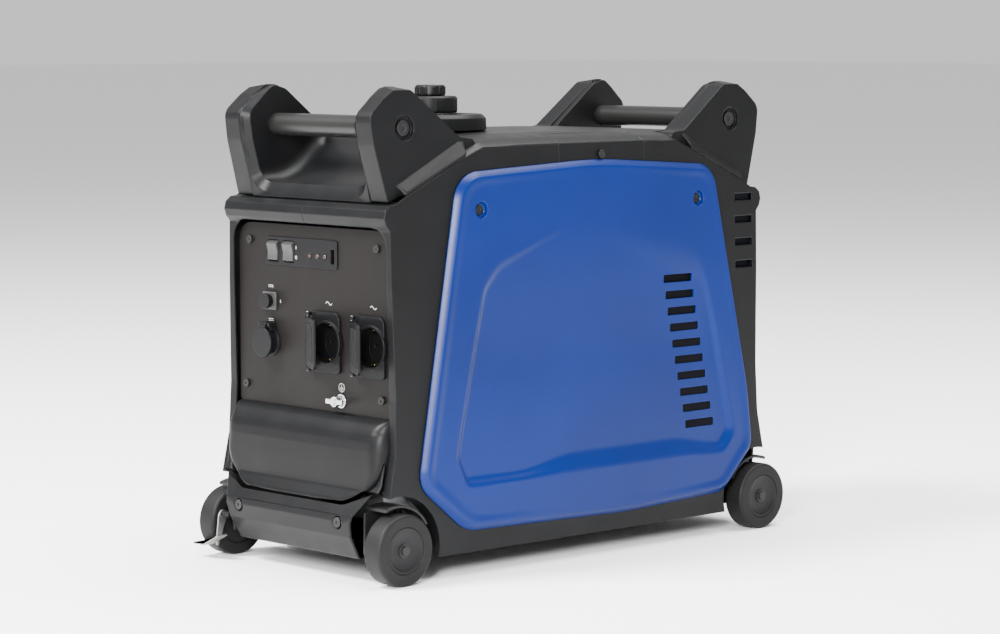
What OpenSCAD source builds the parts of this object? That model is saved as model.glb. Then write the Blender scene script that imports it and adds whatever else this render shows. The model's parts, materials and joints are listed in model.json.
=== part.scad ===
// Inverter generator: an enclosed engine generator with two carrying handles and four wheels.
// Millimetres. X runs across the set, Y from the control panel (-Y) to the exhaust end (+Y),
// Z up from the ground. The right side is +X. The front and rear halves share their outlines.

/* [Body] */
// Half width of the body at its bottom edge
body_half_w = 140; // [139:0.5:141]
// Height of the bottom edge of the body above the ground
body_floor = 24; // [22:1:26]
// Inward lean of each side wall, in degrees
side_lean = 1.432; // [1.2:0.1:1.6]
// Height of the seam between the side shells and the deck
seam_z = 447; // [446:0.5:448]
// Wall thickness of the moulded covers
wall = 3; // [2.5:0.5:3]
// Gap left between neighbouring covers
gap = 0.5; // [0.4:0.1:0.6]

/* [Handles] */
// Height of the axis of each handle bar
bar_z = 468.6; // [467:0.2:470]
// Distance of each handle bar from the middle of the set
bar_y = 246.3; // [245:0.2:247]
// Radius of the handle bar tube
bar_r = 11.9; // [11:0.1:12.2]
// Distance from the middle to the inner face of each handle ear
ear_in = 87; // [86:0.5:88]

/* [Wheels] */
// Distance between the front and the rear axles
wheel_base = 544; // [542:1:546]
// Distance over the outer faces of the wheels
wheel_track = 299.3; // [298.5:0.1:300]
// Outer radius of a tyre
wheel_r = 37.5; // [37:0.5:38]
// Width of a tyre
wheel_w = 25.5; // [24.5:0.5:25.5]

/* [Control panel] */
// Distance of the front face of the control panel from the middle of the set
panel_y = 270; // [269.5:0.5:270.5]
// Height of the centres of the AC sockets
socket_z = 243; // [241:1:245]
// Positions across the panel of the two AC sockets
socket_x = [26, 97];
// Opening angle at which the socket flaps stand
flap_open = 30; // [0:5:90]
// Position across the panel of the DC socket and of the breaker above it
dc_x = -70; // [-72:1:-68]
// Height of the centre of the DC socket
dc_z = 237; // [235:1:239]

/* [Fuel cap] */
// Distance of the fuel cap in front of the middle of the set
cap_y = 104; // [102:1:106]
// Radius of the fuel cap
cap_r = 29.6; // [28.5:0.2:30]

/* [Side covers] */
// How far the blue covers stand out from the side walls
cover_rise = 8; // [7:0.5:8.5]
// Number of cooling slots in each blue cover
slot_count = 10; // [8:1:10]

/* [Hidden] */
$fn = 48;

black = [0.16, 0.16, 0.17];
panel_black = [0.2, 0.185, 0.18];
blue = [0.12, 0.3, 0.66];
steel = [0.72, 0.73, 0.75];
rubber = [0.13, 0.13, 0.13];
cast = [0.62, 0.63, 0.65];
end_y = wheel_base / 2;            // distance of each axle from the middle
arch_r = 55;                       // radius of each wheel arch
guard_r = 46;                      // outer radius of the guard over each wheel
axle_r = 5;                        // radius of a wheel bolt's shank
running = 0.05;                    // radial clearance of a running fit
big = 600;                         // longer than any part of the set

// Half width of the body at height z
function side_x(z) = body_half_w - tan(side_lean) * (z - body_floor);

// ---- outlines -------------------------------------------------------------------------

// Unit vector from a to b
function unit(a, b) = (b - a) / norm(b - a);
function xy(p) = [p[0], p[1]];
function flip(pts) = [for (i = [len(pts) - 1:-1:0]) pts[i]];
// The same outline for the other end of the set
function other_end(pts) = [for (p = flip(pts)) concat([-p[0]], [for (i = [1:len(p) - 1]) p[i]])];
// Left-hand normal of the edge from a to b
function normal(a, b) = [-unit(a, b)[1], unit(a, b)[0]];
// Corner b moved inwards by d from both of its edges
function moved(a, b, c, d) =
    let (n1 = normal(a, b), n2 = normal(b, c)) b + (n1 + n2) * d / (1 + n1 * n2);
// Anticlockwise corner list [x, y, radius], shrunk by d
function shrink(c, d) = [for (i = [0:len(c) - 1])
    let (n = len(c), p = moved(xy(c[(i + n - 1) % n]), xy(c[i]), xy(c[(i + 1) % n]), d))
        [p[0], p[1], max(c[i][2] - d, 0.5)]];
// Arc of a rounded corner at b, as n + 1 points
function arc(a, b, c, r, n) =
    let (u = unit(b, a), v = unit(b, c), half = acos(u * v) / 2, reach = r / tan(half),
        centre = b + (u + v) / norm(u + v) * r / sin(half),
        p = b + u * reach - centre, q = b + v * reach - centre,
        start = atan2(p[1], p[0]), turn = atan2(q[1], q[0]) - start,
        sweep = turn > 180 ? turn - 360 : turn < -180 ? turn + 360 : turn)
        [for (i = [0:n]) centre + r * [cos(start + sweep * i / n), sin(start + sweep * i / n)]];
// Corner list [x, y, radius] turned into points
function smooth(c, n = 4) = [for (i = [0:len(c) - 1])
    let (m = len(c)) each arc(xy(c[(i + m - 1) % m]), xy(c[i]), xy(c[(i + 1) % m]), c[i][2], n)];
// Normal of an open line at point i
function line_normal(p, i) =
    let (n = len(p), a = p[max(i - 1, 0)], b = p[i], c = p[min(i + 1, n - 1)],
        n1 = i > 0 ? normal(a, b) : normal(b, c), n2 = i < n - 1 ? normal(b, c) : n1)
        (n1 + n2) / (1 + n1 * n2);
// Sheet of thickness t on the left of an open line
function sheet(p, t) = concat(p, flip([for (i = [0:len(p) - 1]) p[i] + t * line_normal(p, i)]));

// Side and front outlines, made solid along X or along Y
module along_x(pts, x0, x1)
    translate([x0, 0, 0]) rotate([90, 0, 90]) linear_extrude(x1 - x0) polygon(pts);
module along_y(pts, y0, y1)
    translate([0, y1, 0]) rotate([90, 0, 0]) linear_extrude(y1 - y0) polygon(pts);
module rod_x(r, x0, x1, y, z)
    translate([x0, y, z]) rotate([0, 90, 0]) cylinder(r = r, h = x1 - x0);
module rod_y(r, y0, y1, x, z)
    translate([x, y0, z]) rotate([-90, 0, 0]) cylinder(r = r, h = y1 - y0);
module box(lo, hi) translate(lo) cube(hi - lo);
module both_sides() for (s = [0, 1]) mirror([s, 0, 0]) children();
module both_ends() for (s = [0, 1]) mirror([0, s, 0]) children();
// Stands its children on the leaning side wall: x = 0 is the wall's outer surface
module on_side() translate([body_half_w, 0, body_floor]) rotate([0, -side_lean, 0])
    translate([0, 0, -body_floor]) children();

// ---- shared outlines of the case --------------------------------------------------------

// Front edge of the case seen from the side, from the floor up, with the bullnose at its top
nose = [[-284, 93], [-275.5, 135], [-273.5, 190], [-276.4, 300], [-277, 364], [-282, 370],
    [-284.5, 377.5], [-282.5, 385.5], [-276, 390.5], [-268, 391.5]];
// Top edge of the side shells, seen from the side
shell_top = [[-268, 391.5], [-254, 399], [-171, 437], [-146, seam_z]];
case_outline = concat([[-284, body_floor]], nose, shell_top, other_end(shell_top),
    other_end(nose), [[284, body_floor]]);
// Blue cover seen from the side, anticlockwise, as [y, z, radius]
cover_outline = [[-182, 47, 46], [60, 42, 900], [214, 48, 34], [263, 96, 26], [256, 166, 300],
    [203, 419, 30], [19, 430.5, 700], [-185, 421, 36], [-246, 100, 28]];
// Ear of the front handle frame seen from the side: anticlockwise from the foot of its front
ear_outline = [[-271.5, 392.2, 2], [-253.7, 399.8, 4], [-171, 437.8, 12], [-146, 448, 4],
    [-152, 455.5, 3], [-170, 457.5, 12], [-234, 506, 14], [-250, 513.5, 12], [-272, 500, 30],
    [-293, 482, 14], [-288.5, 452, 30]];
// Front control panel, as [x, z, radius]
panel_outline = [[-123, 170, 4], [123, 170, 4], [123.8, 364, 20], [-123.8, 364, 20]];
// Opening of the case round the panel, the lower cover and the bumper
panel_opening = [[-126, -1, 1], [126, -1, 1], [126, 140, 60], [125.3, 367, 21],
    [-125.3, 367, 21], [-126, 140, 60]];
// Lower front cover seen from the front, as [x, z, radius]
lower_outline = [[-84, 83.5, 26], [84, 83.5, 26], [121, 103, 30], [125.5, 140, 30],
    [124, 168, 2], [-124, 168, 2], [-125.5, 140, 30], [-121, 103, 30]];
// Bumper seen from the front: its wings rise beside the lower cover
bumper_outline = [[-98, 25], [98, 25], [100, 50], [103, 70], [118, 94], [127, 96], [127, 126],
    [-127, 126], [-127, 96], [-118, 94], [-103, 70], [-100, 50]];
lower_gap = 1.6;                   // gap between the bumper and the lower cover
bumper_line = [[-279, 127], [-284, 102], [-288.5, 95], [-304, 70], [-305, 64], [-302, 50],
    [-289, 25.5], [-254, 25.5]];
lower_line = [[-271, 168], [-279, 163.5], [-285.5, 154], [-288.5, 141], [-289, 96.5], [-297.5, 83]];
// Deck seen from the side, from its front lip to the middle: handle well, then crown
deck_line = [[-274, 397], [-269.5, 407.5], [-240, 408.5], [-216, 420], [-192, 443],
    [-172, 457.5], [-100, 460]];
// Shoulder of the deck seen from the front, from the side wall inwards
shoulder = [[side_x(seam_z), seam_z], [side_x(seam_z) - 1, seam_z + 1.5], [119, 453.5],
    [104, 456.5], [ear_in + 3, 458.5], [ear_in, 459]];
hatch_y = [-36, 94];               // front and rear edge of the spark plug hatch
slot_pitch = 18.3;                 // height between two cooling slots
slot_shift = 3.9;                  // each lower slot starts this much further back

// Outer form of the two side shells, made smaller by t
module case_form(t) intersection() {
    along_y([[-side_x(-50) + t, -50], [side_x(-50) - t, -50],
        [side_x(500) - t, 500], [-side_x(500) + t, 500]], -big, big);
    along_x([for (p = case_outline) [p[0] * (1 - t / 280), p[1]]], -big, big);
}

// Half of the case on the +X side, with or without the notch of the spark plug hatch
module half_shell(hatch) {
    difference() {
        case_form(0);
        case_form(wall);
        box([-big, -big, -big], [gap / 2, big, big]);
        // open top, under the deck
        along_y([[0, 300], [side_x(300) - wall, 300], [side_x(500) - wall, 500], [0, 500]], -264, 264);
        // control panel, lower cover and bumper openings; the rear has the same ones
        both_ends() {
            along_y(smooth(panel_opening), -big, -wall - 240);
            rod_x(arch_r, 0, big, -end_y, wheel_r);
            box([0, -big, -1], [big, -end_y + 30, wheel_r]);
        }
        // service opening under the blue cover
        on_side() along_x(smooth(shrink(cover_outline, 14)), -20, 20);
        if (hatch) box([90, hatch_y[0] - gap, 425], [big, hatch_y[1] + gap, big]);
        // vent slots beside the rear corner
        for (i = [0:3]) box([100, 241, 300 + 25.4 * i], [big, 270, 308 + 25.4 * i]);
    }
    // lip along the bottom, and a curved guard over each wheel
    box([119, -210, body_floor], [side_x(body_floor) - 1.5, 210, body_floor + wall]);
    both_ends() intersection() {
        difference() {
            rod_x(arch_r + wall, 119, 137.4, -end_y, wheel_r);
            rod_x(arch_r, 100, 150, -end_y, wheel_r);
        }
        box([100, -end_y - 8, body_floor], [150, -200, 120]);
    }
}

module left_shell() color(black) mirror([1, 0, 0]) half_shell(false);

module right_shell() color(black) half_shell(true);

// Ears seen from the front: the top slopes down towards the outside
ear_front = [[ear_in + 9, 380], [122, 380], [122, 400], [117.5, 507.5], [ear_in + 9, 511]];

// Pair of ears with the front rail between their feet
module handle_frame() {
    both_sides() {
        difference() {
            intersection() {
                along_x(smooth(ear_outline), 0, big);
                along_y(ear_front, -big, big);
            }
            intersection() {
                along_x(smooth(shrink(ear_outline, wall)), 0, big);
                along_y([for (p = ear_front) [p[0] < 100 ? 0 : p[0] - wall, p[1]]], -big, big);
                difference() {
                    box([0, -big, 0], [big, 0, big]);
                    rod_x(16, 0, big, -bar_y, bar_z);
                }
            }
            rod_x(bar_r + 0.3, 0, 112, -bar_y, bar_z);
            rod_x(4.3, 0, big, -bar_y, bar_z);
            rod_x(13, 115, big, -bar_y, bar_z);
        }
        // sloping shoulder from the ear out to the side wall
        difference() {
            hull() {
                along_x([[-253.5, 400.3], [-171, 438.1], [-170, 441], [-252, 403.5]], 117, side_x(420));
                along_x([[-261, 411], [-252, 403.5], [-170, 441], [-166, 453], [-172, 453]], 117, 120.5);
            }
            along_y([for (p = ear_front) [p[0] < 100 ? 0 : p[0], p[1]]], -big, big);
        }
    }
    box([-ear_in - 9, -272.5, 391.9], [ear_in + 9, -269.5, 396.6]);
}

module front_handle_frame() color(black) handle_frame();

module rear_handle_frame() color(black) mirror([0, 1, 0]) handle_frame();

// Inner half of an ear, bevelled towards the hand opening
module ear_cheek() {
    inner = shrink(concat([[-273, 397.2, 2], [-236, 400, 10], [-150, 445, 4]],
        [for (c = ear_outline) if (c[1] > 450) c]), 0.8);
    back = [for (c = inner) c[0] < -262 ? c + [8, 0, 0] : c];
    hull() {
        along_x(smooth(inner), ear_in + 7, ear_in + 9 - gap);
        along_x(smooth(back), ear_in, ear_in + 7);
    }
}

module top_deck() color(black) difference() {
    union() {
        intersection() {
            along_x(sheet(concat(deck_line, [[0, 460.5]], other_end(deck_line)), -wall),
                -ear_in - 3, ear_in + 3);
            both_ends() along_y(smooth([[-86.6, 397.5, 26], [86.6, 397.5, 26], [90, 470, 1],
                [-90, 470, 1]]), -big, 0);
        }
        both_sides() {
            both_ends() ear_cheek();
            // shoulder of the deck between the ears
            intersection() {
                along_y(sheet(shoulder, wall), -145.4, 145.4);
                box([0, -big, seam_z + gap], [big, big, big]);
            }
        }
    }
    both_sides() both_ends() rod_x(bar_r + 0.3, 0, big, -bar_y, bar_z);
    translate([0, -cap_y, 400]) cylinder(r = 40, h = 100);
    box([99, hatch_y[0] - gap, 400], [big, hatch_y[1] + gap, big]);
}

module handle_bars() color(steel) both_ends() difference() {
    rod_x(bar_r, -111.5, 111.5, -bar_y, bar_z);
    rod_x(bar_r - 2, -86, 86, -bar_y, bar_z);
    both_sides() rod_x(4, 80, big, -bar_y, bar_z);
}

module handle_bolts() color(steel) both_ends() both_sides() difference() {
    union() {
        rod_x(3.9, 92, 116, -bar_y, bar_z);
        rod_x(8, 115.1, 117.6, -bar_y, bar_z);
    }
    translate([116.2, -bar_y, bar_z]) rotate([0, 90, 0]) cylinder(r = 3.5, h = 10, $fn = 6);
}

// Lower front piece of the base: a ledge round the lower cover, and a bumper face
module bumper() {
    difference() {
        intersection() {
            along_x(sheet(bumper_line, -wall), -128, 128);
            along_y(bumper_outline, -big, -200);
        }
        along_y(smooth(shrink(lower_outline, -lower_gap)), -big, -200);
        for (x = [-81.4, 81.4]) {
            rod_y(2.7, -big, -200, x, 63.5);
            rod_y(6.5, -big, -303.6, x, 63.5);
        }
    }
}

module front_bumper() color(black) bumper();

module rear_bumper() color(black) mirror([0, 1, 0]) bumper();

// Tray with its open side against the case
module front_lower_cover() color(black) difference() {
    intersection() {
        along_x(concat(lower_line, [[-266, 83], [-266, 168]]), -130, 130);
        along_y(smooth(lower_outline), -big, -200);
    }
    intersection() {
        along_x([for (p = concat(lower_line, [[-260, 83], [-260, 168]])) p + [wall, 0]], -130, 130);
        along_y(smooth(shrink(lower_outline, wall)), -big, -200);
    }
}

// Rear cover: cooling louvres above, and the guarded opening of the exhaust below them
module rear_cover() color(black) difference() {
    intersection() {
        along_y(smooth([[-84, 83.5, 26], [84, 83.5, 26], [121, 103, 30], [125, 140, 30],
            [124.6, 365, 20], [-124.6, 365, 20], [-125, 140, 30], [-121, 103, 30]]), 0, big);
        mirror([0, 1, 0]) along_x(sheet([[-274, 365.5], [-272.5, 190], [-275.5, 135],
            [-288.5, 97], [-297.5, 83]], -wall), -130, 130);
    }
    for (i = [0:8], x = [-88, 4]) box([x, 200, 196 + 17 * i], [x + 84, big, 205 + 17 * i]);
    rod_y(27, 200, big, -60, 150);
}

// Blue cover of one side: a shallow tray with a bevelled rim and slanted cooling slots
module side_cover() on_side() difference() {
    hull() {
        along_x(smooth(cover_outline), gap, 1.5);
        along_x(smooth(shrink(cover_outline, 7)), cover_rise - 1, cover_rise);
    }
    hull() {
        along_x(smooth(shrink(cover_outline, 3)), -1, 1);
        along_x(smooth(shrink(cover_outline, 9)), cover_rise - 4, cover_rise - 3);
    }
    for (i = [0:slot_count - 1])
        box([-20, 118 + slot_shift * i, 290 - slot_pitch * i],
            [20, 164 + slot_shift * i, 299 - slot_pitch * i]);
    for (p = [[-156, 382], [174, 382]]) rod_x(5.7, -20, 20, p[0], p[1]);
}

module right_side_cover() color(blue) side_cover();

// Mouth of the recoil grip's pocket, as [y, z, radius]
pocket = [[-48, 226, 16], [38, 226, 16], [38, 266, 16], [-48, 266, 16]];

// The left cover also has the pocket of the recoil starter grip
module left_side_cover() color(blue) mirror([1, 0, 0]) difference() {
    union() {
        side_cover();
        on_side() along_x(smooth(shrink(pocket, -2.5)), -9, cover_rise - 1);
    }
    on_side() {
        along_x(smooth(pocket), -6.5, 20);
        rod_x(5, -20, 20, grip_y, grip_z);
    }
}

module top_hatch() color(black) difference() {
    along_y(sheet([[side_x(426), 426], shoulder[0], shoulder[1], shoulder[2], shoulder[3],
        [99.5, 457.2]], wall), hatch_y[0], hatch_y[1]);
    rod_x(2.7, 100, 200, 27, 435);
}

// Screw with a hollow cross drive: head r, shank into the part behind
module screw(r, shank) difference() {
    union() {
        cylinder(r = r, h = 2.6);
        translate([0, 0, -shank]) cylinder(r = 2.4, h = shank + 0.1);
    }
    translate([0, 0, 1.6]) cylinder(r = 1.8, h = 2, $fn = 6);
}

module cover_screws() color(steel) {
    both_sides() on_side() for (p = [[-156, 382], [174, 382]])
        translate([0.6, p[0], p[1]]) rotate([0, 90, 0]) screw(5.2, 12);
    translate([side_x(435) + 0.6, 27, 435]) rotate([0, 90, 0]) screw(4.6, 10);
    both_ends() for (x = [-81.4, 81.4])
        translate([x, -305.3, 63.5]) rotate([90, 0, 0]) screw(5.4, 10);
}

module fuel_collar() color(black) translate([0, -cap_y, 0]) rotate_extrude($fn = 64)
    polygon([[35, 461], [61, 461], [60.5, 474], [56, 478.3], [38, 478.3], [35, 474]]);

module fuel_cap() color(black) translate([0, -cap_y, 0]) {
    rotate_extrude($fn = 64) polygon([[0, 479.5], [cap_r - 1, 479.5], [cap_r, 481], [cap_r, 495.5],
        [cap_r - 2, 497.6], [8.2, 497.6], [8.2, 490], [0, 490]]);
    for (a = [22.5:45:360]) rotate([0, 0, a]) translate([cap_r - 2, -4, 482]) cube([2.6, 8, 12]);
}

module vent_knob() color(black) translate([0, -cap_y, 0]) {
    translate([0, 0, 490.3]) cylinder(r = 7.8, h = 8);
    rotate_extrude() polygon([[0, 498], [16, 498], [16.6, 500], [16, 508.5], [14.5, 509.6], [0, 509.6]]);
    for (a = [0:30:330]) rotate([0, 0, a]) translate([15.8, -1.6, 500]) cube([1.2, 3.2, 7.5]);
}

// Pressed steel pan that carries the engine, with a bracket for each wheel
module base_frame() color(rubber) {
    difference() {
        box([-112, -250, 28.5], [112, 250, 31.5]);
        for (x = [-70, 0, 70], y = [-90, 20, 130]) translate([x, y, 20]) cylinder(r = 14, h = 20);
    }
    both_sides() both_ends() difference() {
        union() {
            box([106, -293, 31.5], [109, -238, 75]);
            box([106, -250, 28.5], [118.5, -238, 75]);
            rod_x(13, 108, 121, -end_y, wheel_r);
            // guard over the wheel
            intersection() {
                difference() {
                    rod_x(guard_r, 107, 145, -end_y, wheel_r);
                    rod_x(guard_r - 3, 100, 150, -end_y, wheel_r);
                }
                box([100, -289, 60], [138, -230, 90]);
            }
        }
        rod_x(axle_r + running, 90, 130, -end_y, wheel_r);
    }
}

module tyre() rotate([0, 90, 0]) rotate_extrude($fn = 96)
    polygon([[24.6, -wheel_w / 2], [wheel_r - 3.5, -wheel_w / 2], [wheel_r - 1, -wheel_w / 2 + 1],
        [wheel_r, -wheel_w / 2 + 3.5], [wheel_r, wheel_w / 2 - 3.5], [wheel_r - 1, wheel_w / 2 - 1],
        [wheel_r - 3.5, wheel_w / 2], [24.6, wheel_w / 2]]);

// Hub disc, dished on its outer face, which looks towards +X
module hub() rotate([0, 90, 0]) rotate_extrude($fn = 96)
    polygon([[axle_r + running, -wheel_w / 2 + 1], [24.5, -wheel_w / 2 + 1], [24.5, wheel_w / 2 - 0.8],
        [22, wheel_w / 2 - 0.8], [19, wheel_w / 2 - 2.6], [11, wheel_w / 2 - 3.6],
        [axle_r + running, wheel_w / 2 - 3.6]]);

// Puts a wheel part at one corner: sx and sy are the signs of X and Y
module at_wheel(sx, sy) translate([sx * (wheel_track - wheel_w) / 2, sy * end_y, wheel_r])
    mirror([sx < 0 ? 1 : 0, 0, 0]) children();

module tyre_front_left() color(rubber) at_wheel(-1, -1) tyre();
module tyre_front_right() color(rubber) at_wheel(1, -1) tyre();
module tyre_rear_left() color(rubber) at_wheel(-1, 1) tyre();
module tyre_rear_right() color(rubber) at_wheel(1, 1) tyre();
module hub_front_left() color(black) at_wheel(-1, -1) hub();
module hub_front_right() color(black) at_wheel(1, -1) hub();
module hub_rear_left() color(black) at_wheel(-1, 1) hub();
module hub_rear_right() color(black) at_wheel(1, 1) hub();

// Four shoulder bolts: hex head and washer outside the hub, shank into the bracket
module wheel_bolts() color(steel) for (sx = [-1, 1], sy = [-1, 1]) at_wheel(sx, sy)
    rotate([0, 90, 0]) {
        translate([0, 0, -28]) cylinder(r = axle_r, h = 28 + wheel_w / 2 - 3.2);
        translate([0, 0, wheel_w / 2 - 3.3]) cylinder(r = 7.5, h = 1);
        translate([0, 0, wheel_w / 2 - 2.4]) cylinder(r = 5.5, h = 2.4, $fn = 6);
    }

brake_y = -297;                    // pivot of the foot brake
brake_z = 48;
module foot_brake() color(steel) difference() {
    union() {
        along_x(smooth([[-307, 15, 1], [-304, 13.5, 1], [-290, 47, 4], [-297, 55, 5],
            [-303.5, 47, 4]]), -122.9, -121.2);
        // tread plate, rising inwards past the arm
        along_y(smooth([[-148, 14.4, 0.5], [-130, 14.4, 3], [-105.5, 26.6, 0.5], [-105.5, 28.6, 0.5],
            [-130, 16.4, 3], [-148, 16.4, 0.5]]), -318, -303.8);
    }
    rod_x(3 + running, -130, -100, brake_y, brake_z);
}

module brake_pin() color(steel) {
    rod_x(3, -123.4, -109.2, brake_y, brake_z);
    rod_x(4.6, -123.8, -123.2, brake_y, brake_z);
}

// ---- control panel ----------------------------------------------------------------------

rocker_x = [-63.5, -38];           // places of the two rocker switches
rocker_z = 335;
rocker_w = 16;
lamp_x = [-3, 9.2, 21.4];          // places of the three warning lamps
lamp_z = 332.5;
breaker_z = 281;
ground_x = 46;
ground_z = 183;
screw_places = [[-104, 345], [104, 345], [-111, 189], [111, 189]];

module control_panel() color(panel_black) difference() {
    along_y(smooth(panel_outline), -panel_y, -panel_y + wall);
    for (x = rocker_x) box([x - 9, -280, rocker_z - 12], [x + 9, -260, rocker_z + 12]);
    for (x = lamp_x) rod_y(2.6, -280, -260, x, lamp_z);
    box([30, -280, 325], [37, -260, 341]);
    rod_y(8.4, -280, -260, dc_x, breaker_z);
    rod_y(13.4, -280, -260, dc_x, dc_z);
    for (x = socket_x) rod_y(23.2, -280, -260, x, socket_z);
    rod_y(3.1, -280, -260, ground_x, ground_z);
    for (p = screw_places) rod_y(2.6, -280, -260, p[0], p[1]);
}

module panel_screws() color(steel) for (p = screw_places)
    translate([p[0], -panel_y - 0.1, p[1]]) rotate([90, 0, 0]) screw(4.2, 8);

module switch_bezel() color(black) difference() {
    along_y(smooth([[-77, 320, 3], [41, 320, 3], [41, 350, 3], [-77, 350, 3]]),
        -panel_y - 1.6, -panel_y - 0.1);
    for (x = rocker_x) box([x - 8.6, -280, rocker_z - 11.6], [x + 8.6, -260, rocker_z + 11.6]);
    for (x = lamp_x) rod_y(2.6, -280, -260, x, lamp_z);
    box([30.5, -280, 325.5], [36.5, -260, 340.5]);
}

// Rocker on a level pivot behind the panel, with a shallow V face
module rocker(x, tilt) translate([x, -panel_y + 3, rocker_z]) rotate([tilt, 0, 0]) intersection() {
    rod_x(11.2, -rocker_w / 2, rocker_w / 2, 0, 0);
    along_x([[0, -12], [6, -5], [6, 5], [0, 12], [-8, 12], [-6, 0], [-8, -12]], -20, 20);
}

module economy_rocker() color(black) rocker(rocker_x[0], 6);
module engine_rocker() color(black) rocker(rocker_x[1], 6);

module indicator_lights() color([0.45, 0.05, 0.05]) for (x = lamp_x)
    rod_y(2.45, -panel_y - 2.6, -panel_y + 8, x, lamp_z);

module breaker_body() color([0.5, 0.5, 0.5]) difference() {
    union() {
        along_y(smooth([[dc_x - 11, breaker_z - 9.5, 2], [dc_x + 11, breaker_z - 9.5, 2],
            [dc_x + 11, breaker_z + 9.5, 2], [dc_x - 11, breaker_z + 9.5, 2]]),
            -panel_y - 3, -panel_y - 0.1);
        rod_y(8.2, -panel_y - 1, -panel_y + 26, dc_x, breaker_z);
    }
    rod_y(6.6, -280, -250, dc_x, breaker_z);
}

module breaker_button() color(black) {
    rod_y(6.3, -panel_y - 6, -panel_y + 16, dc_x, breaker_z);
    rod_y(8.2, -panel_y - 10, -panel_y - 6, dc_x, breaker_z);
}

module dc_socket() color(black) difference() {
    union() {
        rod_y(15.5, -panel_y - 2, -panel_y - 0.1, dc_x, dc_z);
        rod_y(13.2, -panel_y - 9, -panel_y + 30, dc_x, dc_z);
        for (s = [-1, 1]) {
            box([dc_x + s * 7 - 2, -panel_y - 10.5, dc_z + 16.2], [dc_x + s * 7 + 2, -panel_y - 0.1, dc_z + 21]);
            box([dc_x + s * 7 - 2, -panel_y - 8, dc_z + 12.4], [dc_x + s * 7 + 2, -panel_y - 0.1, dc_z + 17]);
        }
        rod_x(1.5, dc_x - 6, dc_x + 6, -panel_y - 8.5, dc_z + 19);
    }
    rod_y(10.7, -300, -panel_y + 26, dc_x, dc_z);
}

// Closed lid of the DC socket, hinged above it
module dc_socket_cap() color(black) difference() {
    union() {
        rod_y(15.5, -panel_y - 13.5, -panel_y - 9.6, dc_x, dc_z);
        box([dc_x - 4.4, -panel_y - 13, dc_z + 12], [dc_x + 4.4, -panel_y - 10, dc_z + 19]);
        rod_x(3, dc_x - 4.4, dc_x + 4.4, -panel_y - 8.5, dc_z + 19);
    }
    rod_x(1.5 + running, dc_x - 10, dc_x + 10, -panel_y - 8.5, dc_z + 19);
}

socket_r = 20.5;                   // radius of the plug well
flap_w = 46;                       // from the hinge to the free edge
flap_h = 53;                       // height of the flap plate
function hinge_x(x) = x - 26.4;
hinge_y = -panel_y - 7;

module ac_sockets() color(black) for (x = socket_x) difference() {
    union() {
        along_y(smooth([[x - 24, socket_z - 32, 4], [x + 20, socket_z - 32, 4],
            [x + 20, socket_z + 32, 9], [x - 24, socket_z + 32, 4]]), -panel_y - 3.5, -panel_y - 0.1);
        rod_y(23, -panel_y - 5.6, -panel_y + 32, x, socket_z);
        // end lugs of the flap hinge
        for (s = [-1, 1]) box([hinge_x(x) - 1.6, -panel_y - 8.6, socket_z + s * 29 - 2],
            [hinge_x(x) + 3.4, -panel_y - 3, socket_z + s * 29 + 2]);
    }
    rod_y(socket_r, -300, -panel_y + 12, x, socket_z);
    for (s = [-1, 1]) rod_y(2.4, -300, -panel_y + 28, x + 9.5 * s, socket_z);
    translate([hinge_x(x), hinge_y, socket_z - 40]) cylinder(r = 1.25, h = 80);
}

// Spring contacts at the top and the bottom of each well
module earth_clips() color([0.8, 0.66, 0.35]) for (x = socket_x, s = [-1, 1])
    box([x - 2.5, -panel_y - 1, socket_z + s * 18.2 - 0.8], [x + 2.5, -panel_y + 11.9, socket_z + s * 18.2 + 0.8]);

module flap_pins() color(steel) for (x = socket_x)
    translate([hinge_x(x), hinge_y, socket_z - 31.4]) cylinder(r = 1.2, h = 62.8);

// Spring flap, standing open on its left-hand hinge
module socket_flap(x) translate([hinge_x(x), hinge_y, socket_z]) rotate([0, 0, -flap_open])
    difference() {
        union() {
            translate([0, 0, -26.5]) cylinder(r = 2.3, h = 53);
            along_y(smooth([[-1, -flap_h / 2 + 0.5, 1], [flap_w, -flap_h / 2, 7], [flap_w, flap_h / 2, 7],
                [-1, flap_h / 2 - 0.5, 1]]), -2.3, 0.6);
            // grip ribs on the outside
            for (i = [0:4]) box([9 + 7 * i, -3.6, -20], [11.5 + 7 * i, -2.2, 20]);
        }
        translate([0, 0, -40]) cylinder(r = 1.2 + running, h = 80);
    }

module socket_flap_left() color(black) socket_flap(socket_x[0]);
module socket_flap_right() color(black) socket_flap(socket_x[1]);

module ground_stud() color(steel) {
    rod_y(3, -panel_y - 14, -panel_y + 12, ground_x, ground_z);
    rod_y(7.5, -panel_y - 1.6, -panel_y - 0.1, ground_x, ground_z);
    translate([ground_x, -panel_y - 1.5, ground_z]) rotate([90, 0, 0]) cylinder(r = 6.2, h = 3.4, $fn = 6);
}

module ground_nut() color(steel) difference() {
    union() {
        rod_y(5.4, -panel_y - 11.5, -panel_y - 5.2, ground_x, ground_z);
        for (s = [-1, 1]) along_y(smooth([[ground_x + s * 8 - 5, ground_z - 2.5, 1],
            [ground_x + s * 8 + 5, ground_z - 2.5, 1], [ground_x + s * 8 + 5, ground_z + 2.5, 1],
            [ground_x + s * 8 - 5, ground_z + 2.5, 1]]), -panel_y - 11.5, -panel_y - 8.5);
    }
    rod_y(3 + running, -300, -200, ground_x, ground_z);
}

// ---- inside -----------------------------------------------------------------------------

crank_y = 20;                      // the crankshaft runs across the set
crank_z = 176;
shaft_r = 12.5;
grip_z = 246;                      // place of the recoil starter's grip
grip_y = -5;
pulley_bore = 7;                   // radius of the pin the rope pulley turns on

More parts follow.
